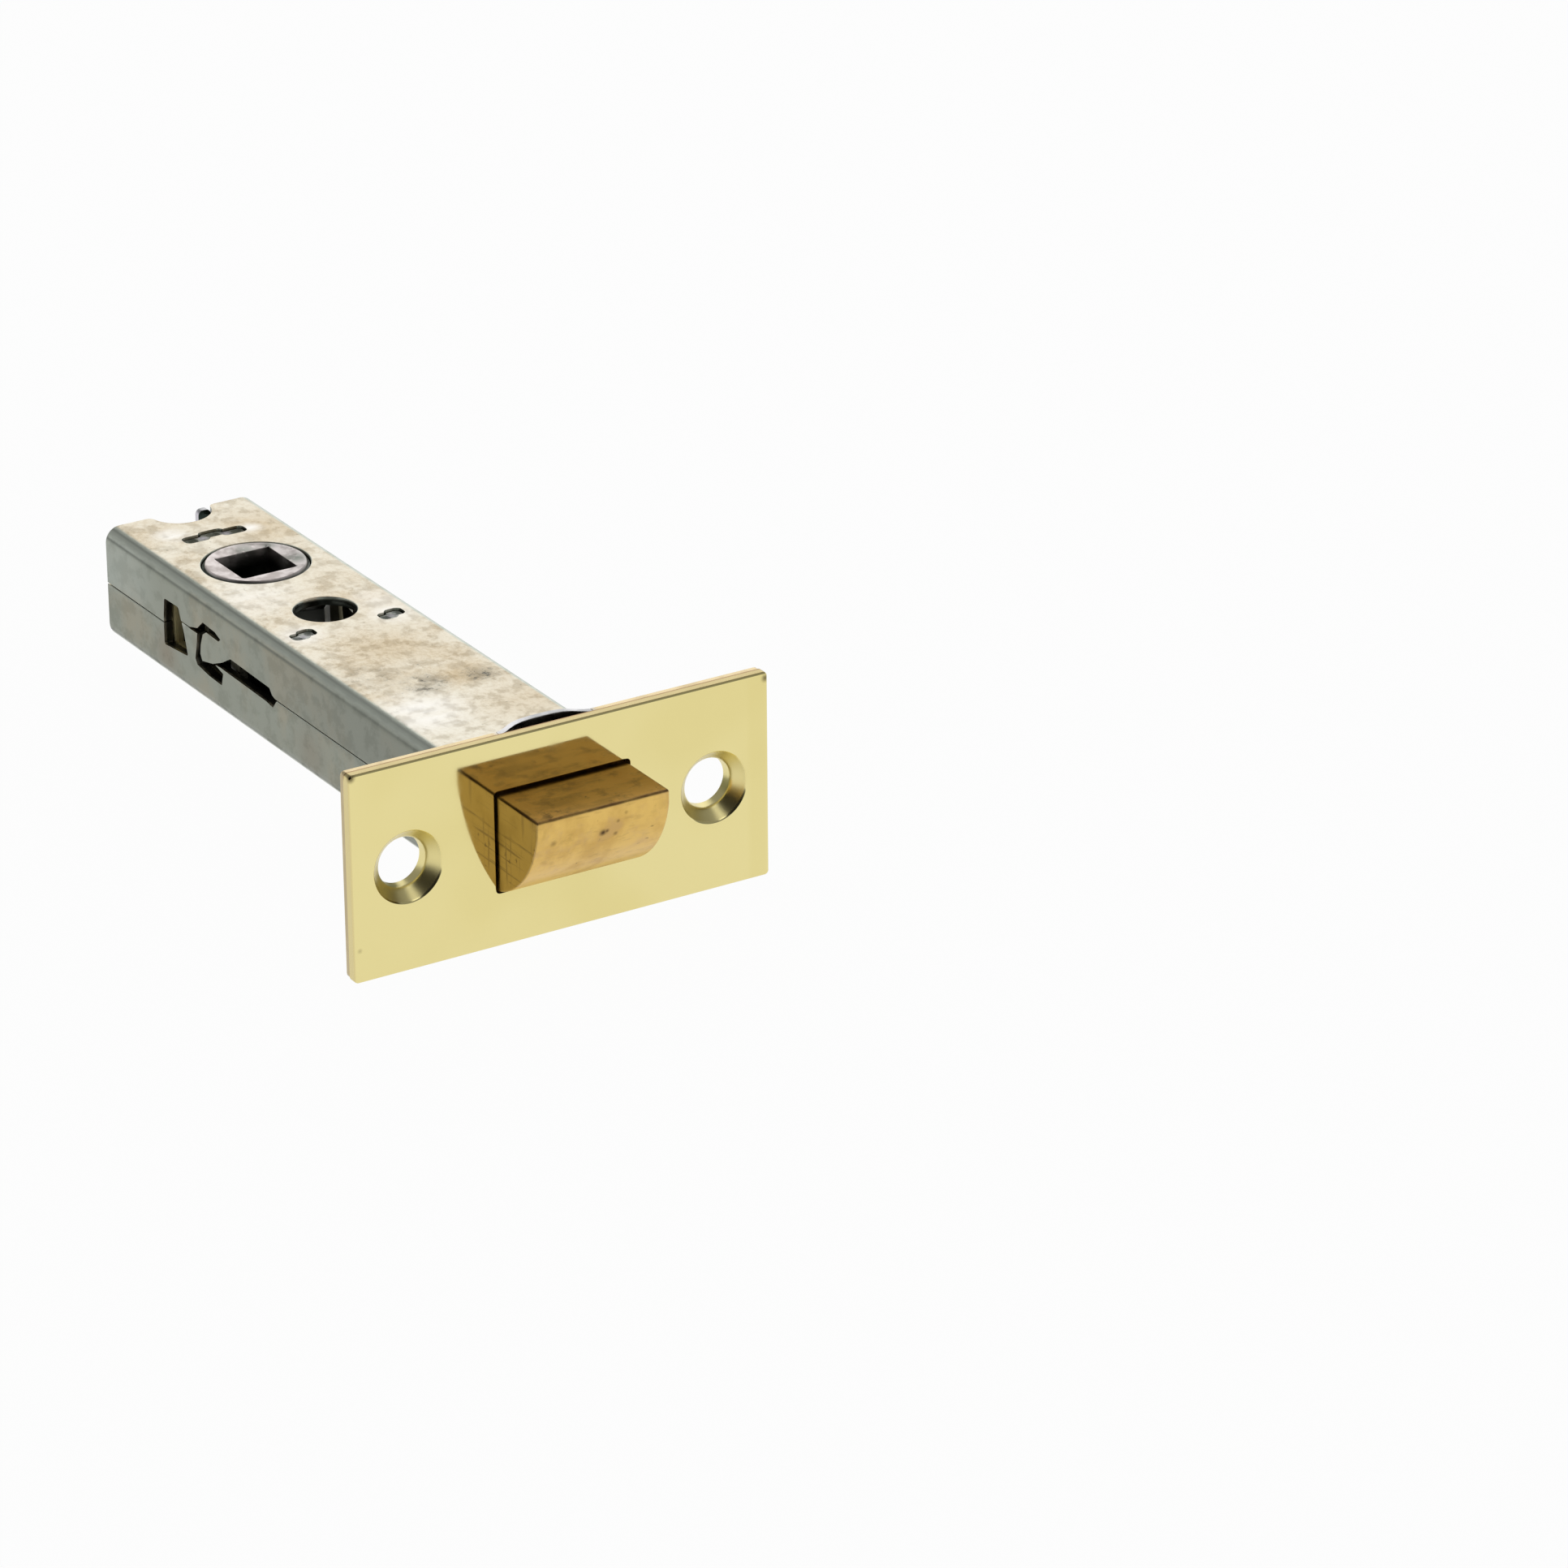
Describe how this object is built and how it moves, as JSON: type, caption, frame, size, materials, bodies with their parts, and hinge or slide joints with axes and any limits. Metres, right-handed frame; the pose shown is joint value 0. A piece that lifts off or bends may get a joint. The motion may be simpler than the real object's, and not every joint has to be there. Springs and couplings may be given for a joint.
{
  "type": "tubular door latch",
  "caption": "Tubular door latch: brass forend, sprung bevelled brass bolt, folded steel case and a square-hole follower that draws the bolt back through a yoke.",
  "frame": {"origin": "centre of the forend's front face, midway between the two screw holes", "axes": "+X out of the door edge, the way the bolt points; +Y along the forend's long side; +Z along the follower's axis"},
  "size_m": [0.1116, 0.06, 0.028],
  "materials": {
    "forend_brass": "polished brass",
    "bolt_brass": "machined brass with fine scratches",
    "plated_steel": "zinc plated, dull and slightly stained",
    "yellow_plated_steel": "yellow zinc plated",
    "follower_steel": "zinc plated, tumbled",
    "plain_steel": "bright steel",
    "spring_steel": "oiled spring wire"
  },
  "bodies": {
    "case": {"forend_plate": "forend_brass", "inner_forend": "plated_steel", "case_upper": "plated_steel", "case_lower": "plated_steel", "spring_seat": "plated_steel", "rear_stop": "plated_steel", "end_plate": "plated_steel", "spring_pin_left": "plain_steel", "spring_pin_right": "plain_steel", "return_spring_left": "spring_steel", "return_spring_right": "spring_steel"},
    "follower": {"follower": "follower_steel"},
    "retractor": {"yoke": "yellow_plated_steel", "spring_cup": "plain_steel"},
    "latch": {"latch_bolt": "bolt_brass", "bolt_stem": "plain_steel", "bolt_pin": "plain_steel", "stem_washer": "plain_steel", "stem_clip": "spring_steel", "bolt_spring": "spring_steel"}
  },
  "joints": [
    {"name": "follower_turn", "type": "hinge", "parent": "case", "child": "follower", "pos_m": [-0.08, 0, 0], "axis": [0, 0, 1], "range_deg": [0, 60]},
    {"name": "yoke_slide", "type": "slide", "parent": "case", "child": "retractor", "axis": [-1, 0, 0], "range_m": [0, 0.0096], "stiffness_N_per_m": 3000, "springref_m": -0.0046, "deforming": ["return_spring_left", "return_spring_right"]},
    {"name": "bolt_press", "type": "slide", "parent": "retractor", "child": "latch", "axis": [-1, 0, 0], "range_m": [0, 0.0096], "stiffness_N_per_m": 250, "springref_m": -0.01, "deforming": ["bolt_spring"]}
  ],
  "couplings": [
    {"joint": "follower_turn", "follows": "yoke_slide", "rad_per_m": 109.08}
  ]
}
